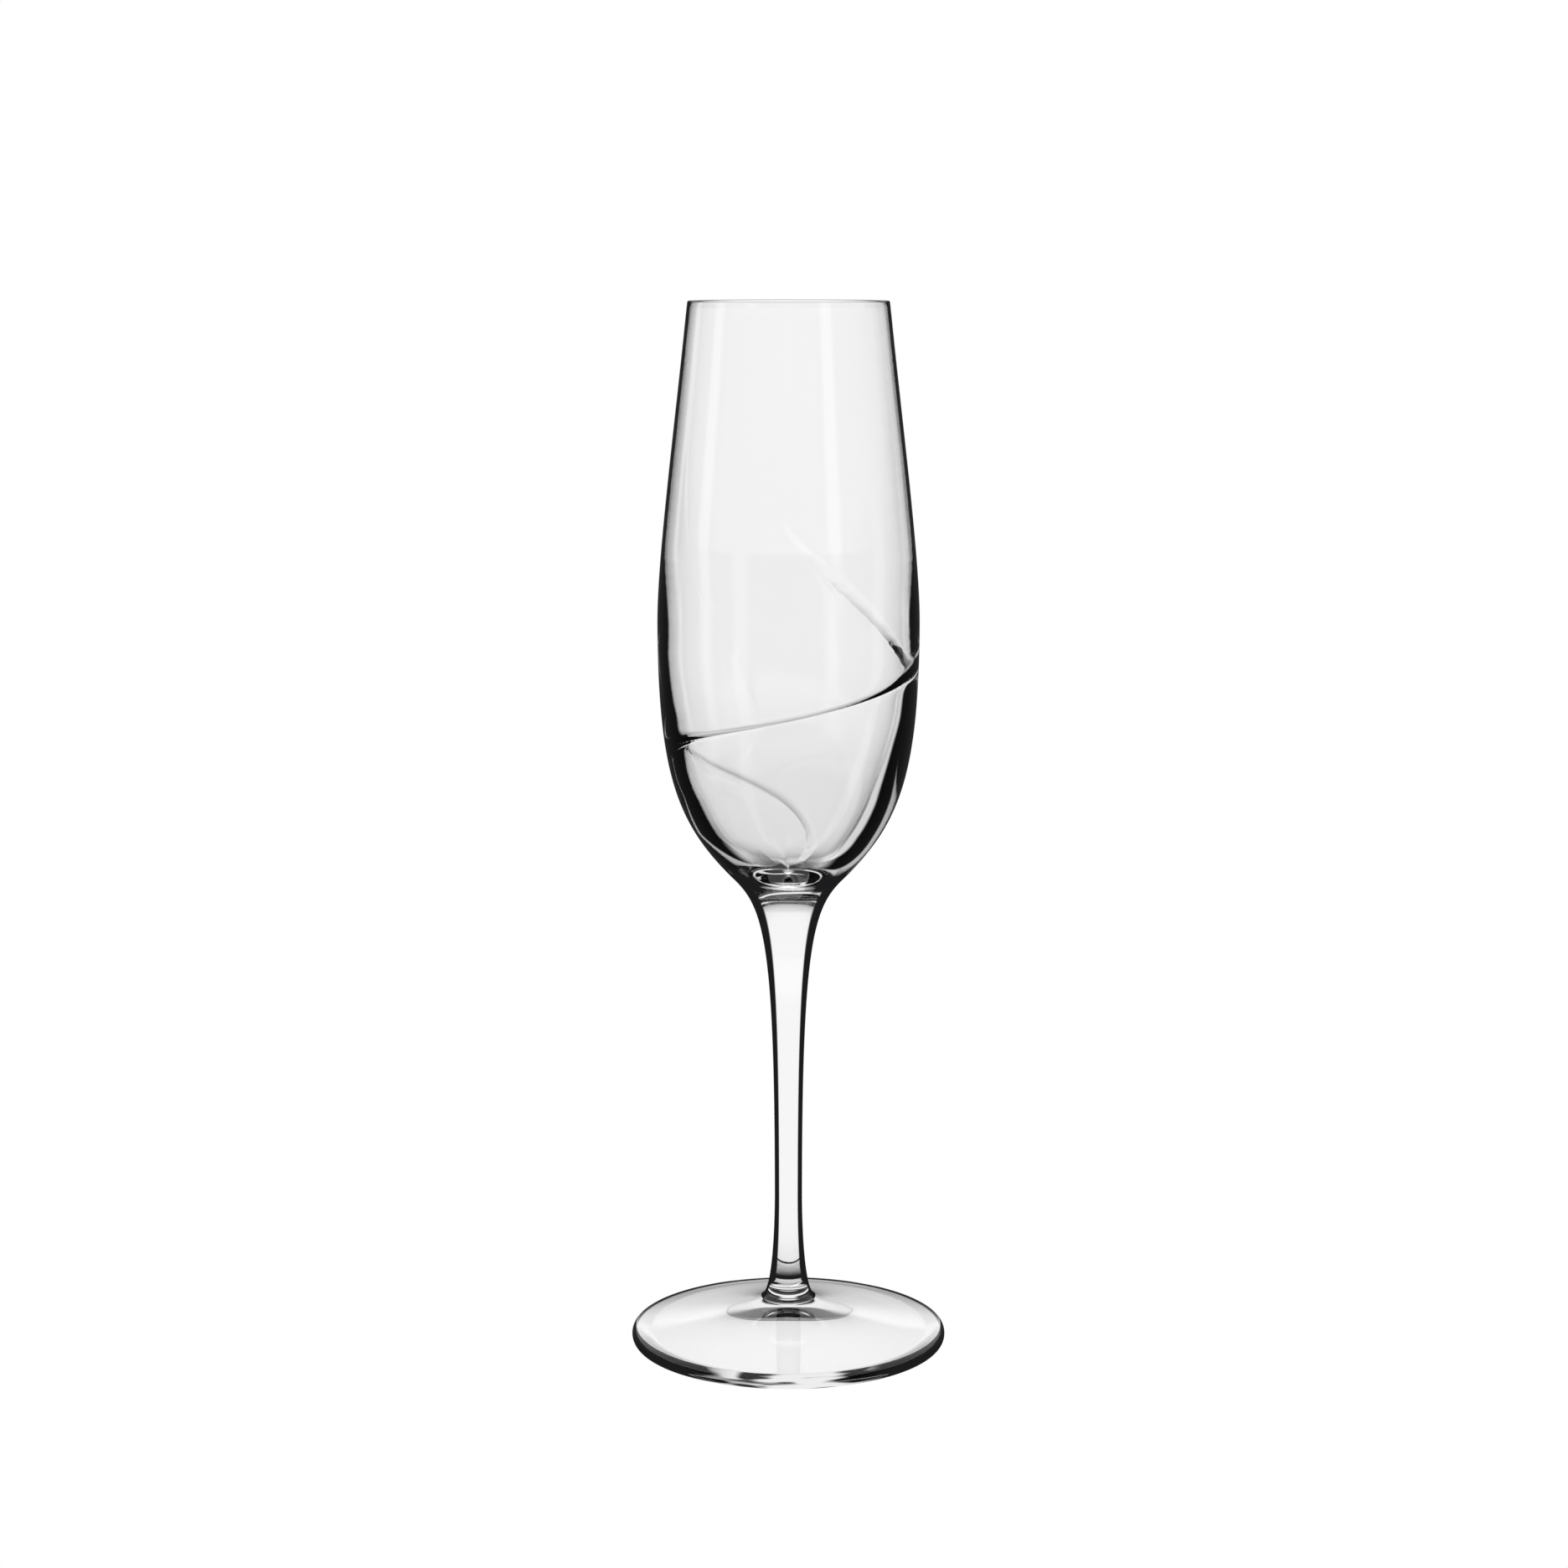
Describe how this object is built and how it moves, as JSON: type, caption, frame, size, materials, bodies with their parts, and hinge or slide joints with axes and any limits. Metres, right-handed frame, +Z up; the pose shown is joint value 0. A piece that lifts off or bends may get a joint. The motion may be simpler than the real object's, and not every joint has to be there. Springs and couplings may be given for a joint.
{
  "type": "champagne flute",
  "caption": "Clear stemmed drinking glass: tall bowl with a spiral ridge moulded inside its wall, slim drawn stem and round foot.",
  "frame": {"origin": "centre of the circle that the foot stands on", "axes": "+Z up along the axis of the stem and bowl; the ridge inside the bowl starts near +Y and winds down clockwise as seen from above"},
  "size_m": [0.0714, 0.0714, 0.235],
  "materials": {
    "bowl_glass": "clear polished crystal, colourless",
    "stem_glass": "clear polished crystal, colourless",
    "foot_glass": "clear polished crystal, colourless"
  },
  "bodies": {
    "root": {"bowl": "bowl_glass", "stem": "stem_glass", "foot": "foot_glass"}
  },
  "joints": []
}
